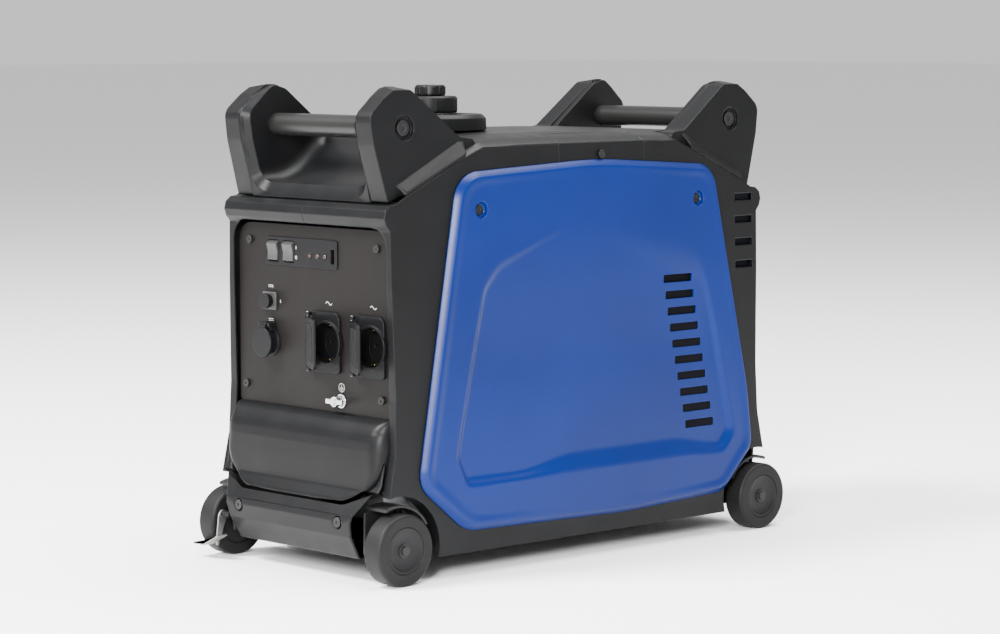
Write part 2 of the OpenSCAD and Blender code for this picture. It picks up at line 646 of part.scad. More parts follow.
module recoil_grip() color(black) {
    along_x(smooth([[grip_y - 34, grip_z - 9, 6], [grip_y + 34, grip_z - 9, 6],
        [grip_y + 34, grip_z + 9, 6], [grip_y - 34, grip_z + 9, 6]]), -145, -130);
    rod_x(4, -131, -121.5, grip_y, grip_z);
}

// Dished plate over the fan, with a guide for the starter rope
module recoil_housing() color(black) difference() {
    union() {
        rod_x(92, -118, -100.5, crank_y, crank_z);
        rod_x(10, -120.5, -110, grip_y, grip_z);
    }
    difference() {
        rod_x(89, -115, -90, crank_y, crank_z);
        rod_x(pulley_bore, -116, -107, crank_y, crank_z);
    }
    rod_x(4.5, -130, -90, grip_y, grip_z);
}

module recoil_pulley() color([0.75, 0.75, 0.7]) difference() {
    rod_x(40, -113.5, -105, crank_y, crank_z);
    translate([-109.2, crank_y, crank_z]) rotate([0, 90, 0])
        rotate_extrude() translate([41, 0]) circle(r = 3);
    rod_x(pulley_bore + running, -120, -100, crank_y, crank_z);
}

// Crankcase and finned cylinder in one casting
module engine_block() color(cast) difference() {
    union() {
        rod_x(66, -22, 52, crank_y, crank_z);
        box([-22, crank_y - 62, 56], [52, crank_y + 62, crank_z]);
        translate([15, crank_y, crank_z]) rotate([-32, 0, 0]) {
            cylinder(r = 34, h = 150);
            for (i = [0:7]) translate([-40, -40, 70 + 9 * i]) cube([80, 80, 3.5]);
            translate([-38, -36, 142]) cube([76, 72, 26]);
        }
    }
    rod_x(50, -16, 46, crank_y, crank_z);
    rod_x(shaft_r + running, -40, 70, crank_y, crank_z);
    translate([15, crank_y, crank_z]) rotate([-32, 0, 0]) {
        cylinder(r = 27, h = 140);
        translate([20, 0, 130]) cylinder(r = 5.1, h = 60);
    }
}

module crankshaft() color(steel) {
    rod_x(shaft_r, -103, -8, crank_y, crank_z);
    rod_x(shaft_r, 38, 60, crank_y, crank_z);
    for (x = [-8, 26]) rod_x(34, x, x + 12, crank_y, crank_z);
    rod_x(12, 3.9, 26.1, crank_y, crank_z + 20);
}

// Outer rotor with the cooling fan's blades on its face
module alternator_rotor() color(black) {
    difference() {
        rod_x(80, -84, -38, crank_y, crank_z);
        rod_x(72, -78, -30, crank_y, crank_z);
        rod_x(shaft_r + 0.05, -90, -30, crank_y, crank_z);
    }
    for (a = [0:30:330]) translate([0, crank_y, crank_z]) rotate([a, 0, 0])
        box([-96, -1.5, 44], [-83.9, 1.5, 84]);
}

module alternator_stator() color([0.7, 0.42, 0.2]) difference() {
    union() {
        rod_x(60, -72, -40, crank_y, crank_z);
        for (a = [0:20:340]) translate([0, crank_y, crank_z]) rotate([a, 0, 0])
            box([-70, -6, 50], [-42, 6, 69]);
        rod_x(30, -41, -22.2, crank_y, crank_z);
    }
    rod_x(shaft_r + 2, -90, 0, crank_y, crank_z);
}

module spark_plug() color([0.9, 0.9, 0.88]) translate([15, crank_y, crank_z]) rotate([-32, 0, 0])
    translate([20, 0, 136]) {
        cylinder(r = 5, h = 33);
        translate([0, 0, 32.2]) cylinder(r = 9, h = 8, $fn = 6);
        translate([0, 0, 40]) cylinder(r = 4.5, h = 24);
    }

module muffler() color([0.5, 0.48, 0.46]) {
    difference() {
        along_y(smooth([[-100, 110, 20], [100, 110, 20], [100, 172, 20], [-100, 172, 20]]), 196, 262);
        along_y(smooth([[-98, 112, 18], [98, 112, 18], [98, 170, 18], [-98, 170, 18]]), 198, 260);
        rod_y(18, 250, 270, -60, 150);
    }
    difference() {
        rod_y(20, 261.9, 279, -60, 150);
        rod_y(18, 250, 300, -60, 150);
    }
}

module air_filter() color(black) difference() {
    box([58, -150, 150], [118, -52, 300]);
    box([61, -147, 153], [115, -55, 297]);
    rod_y(12, -60, -40, 85, 210);
}

module fuel_tank() color(black) difference() {
    union() {
        along_y(smooth([[-112, 366, 20], [74, 366, 20], [74, 440, 16], [-112, 440, 16]]), -150, 150);
        translate([0, -cap_y, 438]) cylinder(r = 27, h = 39);
    }
    along_y(smooth([[-109, 369, 17], [71, 369, 17], [71, 437, 13], [-109, 437, 13]]), -147, 147);
    translate([0, -cap_y, 430]) cylinder(r = 24, h = 60);
}

module inverter_module() color(cast) {
    box([-98, -258, 60], [98, -190, 140]);
    for (i = [0:13]) box([-97 + 14.6 * i, -258, 139.9], [-94 + 14.6 * i, -190, 160]);
}

module engine_mounts() color(rubber) for (x = [-12, 42], y = [-1, 1])
    translate([x, crank_y + 46 * y, 31.6]) cylinder(r = 13, h = 24.3);

left_shell();
right_shell();
front_handle_frame();
rear_handle_frame();
top_deck();
handle_bars();
handle_bolts();
front_bumper();
rear_bumper();
front_lower_cover();
rear_cover();
left_side_cover();
right_side_cover();
top_hatch();
cover_screws();
fuel_collar();
fuel_cap();
vent_knob();
base_frame();
tyre_front_left();
tyre_front_right();
tyre_rear_left();
tyre_rear_right();
hub_front_left();
hub_front_right();
hub_rear_left();
hub_rear_right();
wheel_bolts();
foot_brake();
brake_pin();
control_panel();
panel_screws();
switch_bezel();
economy_rocker();
engine_rocker();
indicator_lights();
breaker_body();
breaker_button();
dc_socket();
dc_socket_cap();
ac_sockets();
earth_clips();
flap_pins();
socket_flap_left();
socket_flap_right();
ground_stud();
ground_nut();
recoil_grip();
recoil_housing();
recoil_pulley();
engine_block();
crankshaft();
alternator_rotor();
alternator_stator();
spark_plug();
muffler();
air_filter();
fuel_tank();
inverter_module();
engine_mounts();
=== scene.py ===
import json
from math import atan2, cos, hypot, pi, radians, sin, tan

import bmesh
import bpy
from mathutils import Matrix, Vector

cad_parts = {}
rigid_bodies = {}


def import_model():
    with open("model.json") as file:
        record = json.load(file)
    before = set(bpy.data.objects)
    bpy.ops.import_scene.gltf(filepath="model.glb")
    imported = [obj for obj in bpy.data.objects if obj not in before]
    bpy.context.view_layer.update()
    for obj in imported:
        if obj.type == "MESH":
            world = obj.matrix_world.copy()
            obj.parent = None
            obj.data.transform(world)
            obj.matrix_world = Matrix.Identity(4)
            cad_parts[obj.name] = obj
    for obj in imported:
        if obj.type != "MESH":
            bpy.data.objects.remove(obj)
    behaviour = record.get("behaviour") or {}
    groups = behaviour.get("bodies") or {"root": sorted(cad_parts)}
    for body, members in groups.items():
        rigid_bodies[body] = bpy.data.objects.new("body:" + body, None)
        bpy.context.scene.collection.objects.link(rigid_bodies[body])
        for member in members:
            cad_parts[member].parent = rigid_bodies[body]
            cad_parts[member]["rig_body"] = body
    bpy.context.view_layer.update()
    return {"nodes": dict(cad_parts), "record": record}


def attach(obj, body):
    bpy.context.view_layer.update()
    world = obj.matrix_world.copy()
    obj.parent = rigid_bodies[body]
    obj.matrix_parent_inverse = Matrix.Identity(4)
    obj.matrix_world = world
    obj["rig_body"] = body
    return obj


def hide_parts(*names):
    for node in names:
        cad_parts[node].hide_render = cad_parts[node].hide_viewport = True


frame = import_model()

NODES = frame["nodes"]
SLOT = {part["node"]: part["material_slot"] for part in frame["record"]["subparts"]}
MM = 0.001


# ---- materials -------------------------------------------------------------------------------


class Graph:
    """A material's nodes, made by short calls. Every length is in metres, in the object's frame."""

    def __init__(self, name):
        self.material = bpy.data.materials.new(name)
        self.material.use_nodes = True
        self.nodes = self.material.node_tree.nodes
        self.links = self.material.node_tree.links
        self.shader = self.nodes["Principled BSDF"]
        self.place = self.nodes.new("ShaderNodeTexCoord").outputs["Object"]

    def feed(self, socket, value):
        """Links or sets an input; None leaves it alone."""
        if isinstance(value, bpy.types.NodeSocket):
            self.links.new(value, socket)
        elif value is not None:
            socket.default_value = value

    def noise(self, scale, detail=3.0, stretch=(1, 1, 1)):
        """Cloudy noise from 0 to 1, with scale features to a metre."""
        turned = self.nodes.new("ShaderNodeMapping")
        turned.inputs["Scale"].default_value = stretch
        self.feed(turned.inputs["Vector"], self.place)
        made = self.nodes.new("ShaderNodeTexNoise")
        made.inputs["Scale"].default_value = scale
        made.inputs["Detail"].default_value = detail
        self.feed(made.inputs["Vector"], turned.outputs["Vector"])
        return made.outputs["Fac"]

    def cells(self, scale):
        """Distance to the nearest of scattered points."""
        made = self.nodes.new("ShaderNodeTexVoronoi")
        made.inputs["Scale"].default_value = scale
        self.feed(made.inputs["Vector"], self.place)
        return made.outputs["Distance"]

    def ranged(self, value, low, high, to_low, to_high):
        """The value mapped from one range to another, and held at its ends."""
        made = self.nodes.new("ShaderNodeMapRange")
        self.feed(made.inputs["Value"], value)
        ends = {"From Min": low, "From Max": high, "To Min": to_low, "To Max": to_high}
        for name, number in ends.items():
            made.inputs[name].default_value = number
        return made.outputs["Result"]

    def maths(self, operation, a, b):
        """The result of a sum on two values."""
        made = self.nodes.new("ShaderNodeMath")
        made.operation = operation
        self.feed(made.inputs[0], a)
        self.feed(made.inputs[1], b)
        return made.outputs["Value"]

    def mixed(self, mask, a, b):
        """Colour a where the mask is 0, colour b where it is 1."""
        made = self.nodes.new("ShaderNodeMix")
        made.data_type = "RGBA"
        self.feed(made.inputs["Factor"], mask)
        for socket, value in zip([s for s in made.inputs if s.type == "RGBA"], (a, b)):
            self.feed(socket, (*value, 1) if isinstance(value, tuple) else value)
        return [s for s in made.outputs if s.type == "RGBA"][0]

    def rounded(self, radius):
        """Normals that round every edge by a radius."""
        made = self.nodes.new("ShaderNodeBevel")
        made.samples = 6
        made.inputs["Radius"].default_value = radius
        return made.outputs["Normal"]

    def edges(self, radius):
        """1 along sharp edges, 0 on the open surface."""
        flat = self.nodes.new("ShaderNodeNewGeometry").outputs["Normal"]
        made = self.nodes.new("ShaderNodeVectorMath")
        made.operation = "DOT_PRODUCT"
        self.feed(made.inputs[0], self.rounded(radius))
        self.feed(made.inputs[1], flat)
        return self.ranged(made.outputs["Value"], 0.995, 0.86, 0.0, 1.0)

    def bump(self, height, depth, strength=1.0, under=None):
        """Normals with a relief of a depth on top of the normals under it."""
        made = self.nodes.new("ShaderNodeBump")
        made.inputs["Strength"].default_value = strength
        made.inputs["Distance"].default_value = depth
        self.feed(made.inputs["Height"], height)
        self.feed(made.inputs["Normal"], under)
        return made.outputs["Normal"]

    def finish(self, colour, roughness, normal, **values):
        """Connects the shader and returns the material; values are plain shader settings."""
        self.feed(self.shader.inputs["Base Color"], colour)
        self.feed(self.shader.inputs["Roughness"], roughness)
        self.feed(self.shader.inputs["Normal"], normal)
        for name, value in values.items():
            self.shader.inputs[name.replace("_", " ")].default_value = value
        return self.material


def moulded(name, colour, worn_and_sheen_colour, rough, grain=1100.0, depth=0.00006, round_r=0.0006, wear_and_sheen_amount=0.5, spread=0.05,
            **values):
    """Moulded plastic or rubber: fine grain, slow change of tone, edges lighter as rubbed wear and as a
    painted highlight.
    """
    g = Graph(name)
    tone = g.ranged(g.noise(6.0), 0.35, 0.65, 0.0, 1.0)
    base = g.mixed(tone, tuple(c * 0.9 for c in colour), tuple(c * 1.1 for c in colour))
    # lighter along sharp edges: partly rubbed wear, partly a painted highlight
    wear_and_sheen = g.maths("MULTIPLY", g.edges(0.0009), g.ranged(g.noise(70.0, 5.0), 0.42, 0.62, 0.1 * wear_and_sheen_amount, wear_and_sheen_amount))
    rough_at = g.ranged(g.noise(38.0, 5.0), 0.3, 0.7, rough - spread, rough + spread)
    rough_at = g.maths("SUBTRACT", rough_at, g.maths("MULTIPLY", wear_and_sheen, 0.12))
    relief = g.bump(g.noise(grain, 4.0), depth, 1.0, g.rounded(round_r))
    return g.finish(g.mixed(wear_and_sheen, base, worn_and_sheen_colour), rough_at, relief, **values)


def metal(name, colour, rough, streak=(1, 1, 1), grain=700.0, depth=0.00002, tint=0.82):
    """Bare or plated metal: brushed or cast grain, with cloudy stains."""
    g = Graph(name)
    cloud = g.ranged(g.noise(28.0, 6.0), 0.3, 0.7, 0.0, 1.0)
    base = g.mixed(cloud, tuple(c * tint for c in colour), colour)
    rough_at = g.ranged(g.noise(160.0, 5.0, streak), 0.25, 0.75, rough - 0.08, rough + 0.1)
    relief = g.bump(g.noise(grain, 3.0, streak), depth, 1.0, g.rounded(0.0004))
    return g.finish(base, rough_at, relief, Metallic=1.0)


def painted_steel(name, colour, worn_and_sheen_colour, rough, shine, streak=(1, 1, 1)):
    """Powder coat with a slight orange peel, lighter at the edges where it is worn thin and as a painted
    highlight.
    """
    g = Graph(name)
    tone = g.ranged(g.noise(9.0), 0.35, 0.65, 0.0, 1.0)
    base = g.mixed(tone, tuple(c * 0.88 for c in colour), tuple(c * 1.12 for c in colour))
    # lighter along sharp edges: partly paint worn thin, partly a painted highlight
    wear_and_sheen = g.maths("MULTIPLY", g.edges(0.0007), g.ranged(g.noise(90.0, 5.0), 0.45, 0.6, 0.0, 0.6))
    rough_at = g.ranged(g.noise(60.0, 4.0, streak), 0.3, 0.7, rough - 0.05, rough + 0.06)
    peel = g.bump(g.cells(420.0), 0.00005, 0.6, g.rounded(0.0005))
    return g.finish(g.mixed(wear_and_sheen, base, worn_and_sheen_colour), rough_at, peel, Specular_IOR_Level=shine)


def lens(name, colour):
    """Tinted translucent lamp lens."""
    g = Graph(name)
    tone = g.ranged(g.noise(260.0, 2.0), 0.3, 0.7, 0.0, 1.0)
    base = g.mixed(tone, tuple(c * 0.8 for c in colour), colour)
    rough_at = g.ranged(g.noise(120.0), 0.3, 0.7, 0.12, 0.24)
    relief = g.bump(g.cells(1500.0), 0.00004, 0.5)
    return g.finish(base, rough_at, relief, Transmission_Weight=0.25, Coat_Weight=0.4)


def wound(name):
    """Varnished copper wire, seen as fine parallel turns."""
    g = Graph(name)
    turns = g.nodes.new("ShaderNodeTexWave")
    turns.inputs["Scale"].default_value = 260.0
    turns.inputs["Distortion"].default_value = 0.6
    g.feed(turns.inputs["Vector"], g.place)
    base = g.mixed(turns.outputs["Fac"], (0.2, 0.06, 0.02), (0.75, 0.3, 0.12))
    rough_at = g.ranged(g.noise(200.0), 0.3, 0.7, 0.25, 0.45)
    return g.finish(base, rough_at, g.bump(turns.outputs["Fac"], 0.0002, 0.8), Metallic=0.8)


# nodes whose looks differ from the plain finish of their slot
LOOK = dict.fromkeys(["left_shell", "right_shell", "front_handle_frame", "rear_handle_frame", "top_deck",
                      "top_hatch", "front_bumper", "rear_bumper"], "case_plastic")
LOOK["breaker_body"] = "switch_plastic"

# colour, colour along the edges (rubbed wear and painted highlight), roughness
MATERIAL = {
    "black_plastic": moulded("black_plastic", (0.0036, 0.0037, 0.004), (0.025, 0.025, 0.027), 0.42,
                             Specular_IOR_Level=0.11),
    "case_plastic": moulded("case_plastic", (0.0036, 0.0037, 0.004), (0.025, 0.025, 0.027), 0.4,
                            round_r=0.0022, Specular_IOR_Level=0.12),
    "blue_plastic": moulded("blue_plastic", (0.0003, 0.0085, 0.08), (0.02, 0.07, 0.22), 0.34,
                            grain=800.0, spread=0.02, depth=0.00003, Specular_IOR_Level=0.16),
    "tyre_rubber": moulded("tyre_rubber", (0.006, 0.006, 0.006), (0.03, 0.029, 0.028), 0.55,
                           grain=600.0, depth=0.00012, Specular_IOR_Level=0.14),
    "hub_plastic": moulded("hub_plastic", (0.006, 0.006, 0.0065), (0.03, 0.03, 0.03), 0.44,
                           Specular_IOR_Level=0.14),
    "black_steel": painted_steel("black_steel", (0.006, 0.006, 0.0065), (0.06, 0.058, 0.055), 0.4, 0.2),
    "bar_steel": painted_steel("bar_steel", (0.008, 0.0078, 0.0076), (0.05, 0.05, 0.05), 0.32, 0.2,
                               streak=(0.1, 1, 1)),
    "bright_steel": metal("bright_steel", (0.62, 0.62, 0.63), 0.28, streak=(1, 1, 0.15)),
    "plated_steel": metal("plated_steel", (0.3, 0.3, 0.29), 0.42),
    "panel_plate": moulded("panel_plate", (0.0045, 0.0036, 0.0035), (0.025, 0.022, 0.021), 0.5,
                           grain=1400.0, depth=0.00004, Specular_IOR_Level=0.11),
    "switch_plastic": moulded("switch_plastic", (0.022, 0.022, 0.022), (0.12, 0.12, 0.12), 0.38,
                              grain=1500.0, depth=0.00002, Specular_IOR_Level=0.3),
    # near-black, for the sheets that paint the shade seen through the slots and vents
    "slot_shadow": moulded("slot_shadow", (0.0015, 0.0016, 0.003), (0.002, 0.002, 0.003), 0.7,
                           Specular_IOR_Level=0.05),
    "lamp_lens": lens("lamp_lens", (0.025, 0.006, 0.005)),
    "grey_plastic": moulded("grey_plastic", (0.36, 0.36, 0.36), (0.55, 0.55, 0.55), 0.45, wear_and_sheen_amount=0.3),
    "contact_brass": metal("contact_brass", (0.78, 0.58, 0.28), 0.26),
    "cast_alloy": metal("cast_alloy", (0.55, 0.56, 0.57), 0.5, grain=380.0, depth=0.00025, tint=0.75),
    "shaft_steel": metal("shaft_steel", (0.6, 0.6, 0.6), 0.24, streak=(0.1, 1, 1)),
    "copper_winding": wound("copper_winding"),
    "plug_ceramic": moulded("plug_ceramic", (0.75, 0.74, 0.7), (0.8, 0.8, 0.78), 0.2,
                            grain=300.0, depth=0.00002, wear_and_sheen_amount=0.2),
    "muffler_steel": metal("muffler_steel", (0.32, 0.3, 0.28), 0.55, grain=300.0, depth=0.00012, tint=0.6),
    "mount_rubber": moulded("mount_rubber", (0.02, 0.02, 0.02), (0.05, 0.05, 0.05), 0.8,
                            grain=500.0, depth=0.00012),
}


# ---- pieces from the CAD solids, with softened edges ---------------------------------------------


def placed(name, mesh, slot, body, nodes=()):
    """An object for a finished mesh, with its material, its body and the nodes it stands for."""
    piece = bpy.data.objects.new(name, mesh)
    bpy.context.collection.objects.link(piece)
    mesh.materials.clear()
    mesh.materials.append(MATERIAL[LOOK.get(nodes[0] if nodes else None, slot)])
    for face in mesh.polygons:
        face.material_index = 0
    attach(piece, body)
    if nodes:
        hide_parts(*nodes)
    return piece


def applied(piece):
    """The piece with its modifiers turned into plain mesh."""
    seen = piece.evaluated_get(bpy.context.evaluated_depsgraph_get())
    mesh = bpy.data.meshes.new_from_object(seen)
    piece.modifiers.clear()
    old, piece.data = piece.data, mesh
    bpy.data.meshes.remove(old)
    return piece


def softened(piece, width, segments, turn=28.0):
    """Rounds the edges sharper than turn."""
    bm = bmesh.new()
    bm.from_mesh(piece.data)
    bmesh.ops.remove_doubles(bm, verts=bm.verts, dist=2e-6)
    bmesh.ops.dissolve_limit(bm, angle_limit=radians(0.4), verts=bm.verts, edges=bm.edges)
    layer = bm.edges.layers.float.new("bevel_weight_edge")
    for edge in bm.edges:
        sharp = len(edge.link_faces) == 2 and edge.calc_face_angle(0.0) > radians(turn)
        edge[layer] = 1.0 if sharp else 0.0
        edge.smooth = True
    for face in bm.faces:
        face.smooth = True
    bm.to_mesh(piece.data)
    bm.free()
    bevel = piece.modifiers.new("edges", "BEVEL")
    bevel.width = width
    bevel.segments = segments
    bevel.limit_method = "WEIGHT"
    bevel.use_clamp_overlap = False
    bevel.miter_outer = "MITER_SHARP"
    piece.data.set_sharp_from_angle(angle=radians(50))
    normal = piece.modifiers.new("normals", "WEIGHTED_NORMAL")
    normal.keep_sharp = True
    return applied(piece)


def refined(node, width, segments=2):
    """A copy of a CAD node with softened edges, which stands for it."""
    source = NODES[node]
    piece = placed("fine_" + node, source.data.copy(), SLOT[node], source["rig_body"], [node])
    return softened(piece, width, segments)


# ---- outlines and grids (millimetres) ----------------------------------------------------------------


def rounded(corners, count=10):
    """An anticlockwise outline from corners (x, y, radius)."""
    points = []
    for i, (x, y, r) in enumerate(corners):
        b = Vector((x, y))
        u = (Vector(corners[i - 1][:2]) - b).normalized()
        v = (Vector(corners[(i + 1) % len(corners)][:2]) - b).normalized()
        half = u.angle(v) / 2
        centre = b + (u + v).normalized() * r / sin(half)
        p, q = b + u * r / tan(half) - centre, b + v * r / tan(half) - centre
        start = atan2(p.y, p.x)
        sweep = (atan2(q.y, q.x) - start + pi) % (2 * pi) - pi
        points += [centre + r * Vector((cos(start + sweep * k / count), sin(start + sweep * k / count)))
                   for k in range(count + 1)]
    return points


def resampled(points, count):
    """The closed outline as evenly spaced points."""
    ends = [0.0]
    for a, b in zip(points, points[1:] + points[:1]):
        ends.append(ends[-1] + (b - a).length)
    made, at = [], 0
    for k in range(count):
        want = ends[-1] * k / count
        while ends[at + 1] < want:
            at += 1
        part = (want - ends[at]) / max(ends[at + 1] - ends[at], 1e-9)
        made.append(points[at].lerp(points[(at + 1) % len(points)], part))
    return made


def inset(points, distance):
    """The outline moved inwards, point by point."""
    made = []
    for i, p in enumerate(points):
        along = points[(i + 1) % len(points)] - points[i - 1]
        made.append(p + Vector((-along.y, along.x)).normalized() * distance)
    return made


def along_line(line, at):
    """Value of a broken line [(value, position)] at a position, ends held."""
    line = sorted(line, key=lambda p: p[1])
    if at <= line[0][1]:
        return line[0][0]
    for (v0, p0), (v1, p1) in zip(line, line[1:]):
        if at <= p1:
            return v0 + (v1 - v0) * (at - p0) / (p1 - p0)
    return line[-1][0]


def ease(t):
    """0 below 0, 1 above 1, and a smooth step between."""
    t = min(max(t, 0.0), 1.0)
    return t * t * (3 - 2 * t)


def skin(name, rings, close=True, cap=False, flip=False):
    """A surface through rings of points in millimetres, all with the same count."""
    count = len(rings[0])
    points = [Vector(p) * MM for ring in rings for p in ring]
    faces = []
    for i in range(len(rings) - 1):
        for j in range(count if close else count - 1):
            k = (j + 1) % count
            faces.append((i * count + j, i * count + k, (i + 1) * count + k, (i + 1) * count + j))
    if cap:
        faces.append(tuple((len(rings) - 1) * count + j for j in range(count)))
    if flip:
        faces = [face[::-1] for face in faces]
    return made_mesh(name, points, faces)


def made_mesh(name, points, faces):
    """A mesh from points in metres."""
    mesh = bpy.data.meshes.new(name)
    mesh.from_pydata([tuple(p) for p in points], [], faces)
    mesh.validate()
    mesh.update()
    return mesh


def closed(mesh):
    """The mesh with its open ends filled."""
    bm = bmesh.new()
    bm.from_mesh(mesh)
    bmesh.ops.holes_fill(bm, edges=[e for e in bm.edges if e.is_boundary])
    bmesh.ops.recalc_face_normals(bm, faces=bm.faces)
    bm.to_mesh(mesh)
    bm.free()
    return mesh


def joined(name, meshes):
    """One mesh from several, which it uses up."""
    bm = bmesh.new()
    for mesh in meshes:
        bm.from_mesh(mesh)
        bpy.data.meshes.remove(mesh)
    made = bpy.data.meshes.new(name)
    bm.to_mesh(made)
    bm.free()
    return made


def smoothed(piece, angle):
    """Shades a piece smooth, apart from edges sharper than angle."""
    for face in piece.data.polygons:
        face.use_smooth = True
    piece.data.set_sharp_from_angle(angle=radians(angle))
    return piece


def thickened(piece, thickness):
    """Gives an open skin its thickness, away from its normals."""
    made = piece.modifiers.new("wall", "SOLIDIFY")
    made.thickness = thickness * MM
    made.offset = -1
    return applied(piece)


def cut_by(piece, mesh):
    """Cuts closed lumps out of a piece."""
    tool = bpy.data.objects.new("tool", mesh)
    bpy.context.collection.objects.link(tool)
    made = piece.modifiers.new("cut", "BOOLEAN")
    made.operation = "DIFFERENCE"
    made.solver = "EXACT"
    made.object = tool
    applied(piece)
    bpy.data.objects.remove(tool)
    bpy.data.meshes.remove(mesh)
    return piece


# ---- blue side covers ----------------------------------------------------------------------------------

LEAN = radians(1.432)                    # the side walls lean in towards the top
WALL_FOOT = (140, 24)                    # a side wall's foot: distance from the middle, height
# corners in the plane of the side wall: y, height, radius
COVER = [(-182, 47, 46), (60, 42, 900), (214, 48, 34), (263, 96, 26), (256, 166, 300), (203, 419, 30),
         (19, 430.5, 700), (-185, 421, 36), (-246, 100, 28)]
# rim of the cover: distance in from its outline, height over the side wall
RIM = [(0, 0.5), (0, 1.5), (0.3, 2.0), (5.9, 7.55), (6.5, 7.9), (8.5, 7.97)]
THROUGH = (-4, 14)                       # from inside the cover to outside it
SUNK = 5.4                               # depth of the sunk middle
SUNK_TOP = 372                           # height at which it has run out
SCREW_PLACES = [(-156, 382), (174, 382)]
SLOTS = [(118 + 3.9 * i, 290 - 18.3 * i) for i in range(10)]
# profiles of the screw cups and of the grip's pocket, (radius or distance in, height)
SCREW_CUP = [(6.9, 0.8), (5.3, 0.8), (5.3, 1.6), (7.4, 1.9), (8.0, 2.7), (8.3, 6.2), (8.5, 6.8), (9.0, 7.3)]
POCKET = [(-48, 226, 16), (38, 226, 16), (38, 266, 16), (-48, 266, 16)]
POCKET_CUP = [(-1.2, 6.6), (-0.1, 6.0), (0, 4.5), (0, -4.5), (0.6, -5.8), (2, -6.4)]
# edges of the sunk middle, anticlockwise, and the width of each step; the first is its bottom edge
STEPS = [((-183, 94), (211.5, 95), 6), ((211.5, 95), (230.5, 115), 10), ((230.5, 115), (197, 270), 11),
         ((197, 270), (176, 326), 12), ((176, 326), (100, 352), 40), ((200, SUNK_TOP), (-200, SUNK_TOP), 160),
         ((-71, 348), (-136, 323), 6), ((-136, 323), (-157, 300), 8), ((-157, 300), (-198, 126), 9),
         ((-198, 126), (-183, 94), 8)]


def on_side(side, x, y, z):
    """A point of a side wall: x out of the wall, y along it, z up it."""
    out, up = WALL_FOOT
    return (side * (out + x * cos(LEAN) - (z - up) * sin(LEAN)), y, up + x * sin(LEAN) + (z - up) * cos(LEAN))


def cover_height(y, z):
    """Height of the cover's face against its rim: a slight crown, sunk in the middle."""
    sunk = SUNK
    for (ay, az), (by, bz), width in STEPS:
        if az == bz == SUNK_TOP:
            gone = az - z
        else:
            gone = ((by - ay) * (z - az) - (bz - az) * (y - ay)) / hypot(by - ay, bz - az)
        if (az, bz) == (94, 95):                 # the bottom edge is softer in its middle
            width = 8 + 14 * ease((y + 110) / 90) * ease((215 - y) / 90)
        sunk *= ease(gone / width)
    return -1.6 * ((y - 8) / 250) ** 2 * (1 if abs(y - 8) > 1 else 0) - sunk


def slab(side, outline, low, high):
    """A closed lump over an outline of the side wall."""
    bottom = [on_side(side, low, p.x, p.y) for p in outline]
    top = [on_side(side, high, p.x, p.y) for p in outline]
    return closed(skin("slab", [bottom, top], cap=True))


def circle(y, z, r, count=40):
    """A round outline."""
    return [Vector((y + r * cos(2 * pi * k / count), z + r * sin(2 * pi * k / count))) for k in range(count)]


def side_cover(name, side):
    """A side cover with its rim, sunk middle, slots and screw cups; the left one holds the grip's pocket."""
    outline = resampled(rounded(COVER, 14), 460)
    rings = []
    for away, height in RIM:
        rings.append([on_side(side, height, p.x, p.y) for p in inset(outline, away)])
    rim_in, rim_high = RIM[-1]
    inner, middle, count = inset(outline, rim_in), Vector((8, 235)), 96
    for k in range(1, count):
        ring = [middle + (p - middle) * (1 - k / count) for p in inner]
        fade = ease(k / 4)
        rings.append([on_side(side, rim_high + cover_height(p.x, p.y) * fade, p.x, p.y) for p in ring])
    piece = placed("fine_" + name, skin(name, rings, cap=True, flip=side < 0), SLOT[name], "set", [name])
    thickened(piece, 2.5)
    lumps = []
    for y, z in SLOTS:
        slot = rounded([(y, z, 1.6), (y + 46, z, 1.6), (y + 46, z + 9, 1.6), (y, z + 9, 1.6)], 4)
        lumps.append(slab(side, slot, *THROUGH))
    lumps += [slab(side, circle(y, z, 8.9), *THROUGH) for y, z in SCREW_PLACES]
    if side < 0:
        lumps.append(slab(side, rounded(POCKET), *THROUGH))
    cut_by(piece, joined("lumps", lumps))
    extra = [piece.data.copy()]
    for y, z in SCREW_PLACES:
        cup = [[on_side(side, h, p.x, p.y) for p in circle(y, z, r)] for r, h in SCREW_CUP]
        extra.append(skin("cup", cup, flip=side > 0))
    if side < 0:
        mouth = resampled(rounded(POCKET), 120)
        cup = [[on_side(side, h, p.x, p.y) for p in inset(mouth, d)] for d, h in POCKET_CUP]
        extra.append(skin("cup", cup, cap=True))
    old, piece.data = piece.data, joined(name, extra)
    piece.data.materials.append(MATERIAL[SLOT[name]])
    bpy.data.meshes.remove(old)
    smoothed(piece, 30)
    # dark sheet behind the slots, which paints the shade inside the case seen through them
    plate = slab(side, rounded([(108, 106, 6), (206, 106, 6), (176, 314, 6), (108, 314, 6)], 5), 0.2, 1.2)
    slot_shade = placed("slot_shade_sheet_" + ("right" if side > 0 else "left"), plate, "black_plastic", "set")
    slot_shade.data.materials[0] = MATERIAL["slot_shadow"]
    softened(slot_shade, 0.3 * MM, 2)


side_cover("right_side_cover", 1)
side_cover("left_side_cover", -1)

# ---- cover under the panel --------------------------------------------------------------------------

LOWER_FOOT, LOWER_TOP = 83.5, 168        # heights of its two ends
LOWER_BACK = -266                        # y of its back edge
FOLD = 96.5                              # height of the crisp fold near its foot
# corners seen from the front: x, height, radius
LOWER = [(-84, LOWER_FOOT, 58), (84, LOWER_FOOT, 58), (121, 103, 50), (125.5, 140, 30), (124, LOWER_TOP, 2),
         (-124, LOWER_TOP, 2), (-125.5, 140, 30), (-121, 103, 50)]
# its front in the middle plane: y, height
LOWER_LINE = [(-271, LOWER_TOP), (-279, 163.5), (-285.5, 154), (-288.5, 141), (-289, FOLD), (-297.5, 83)]


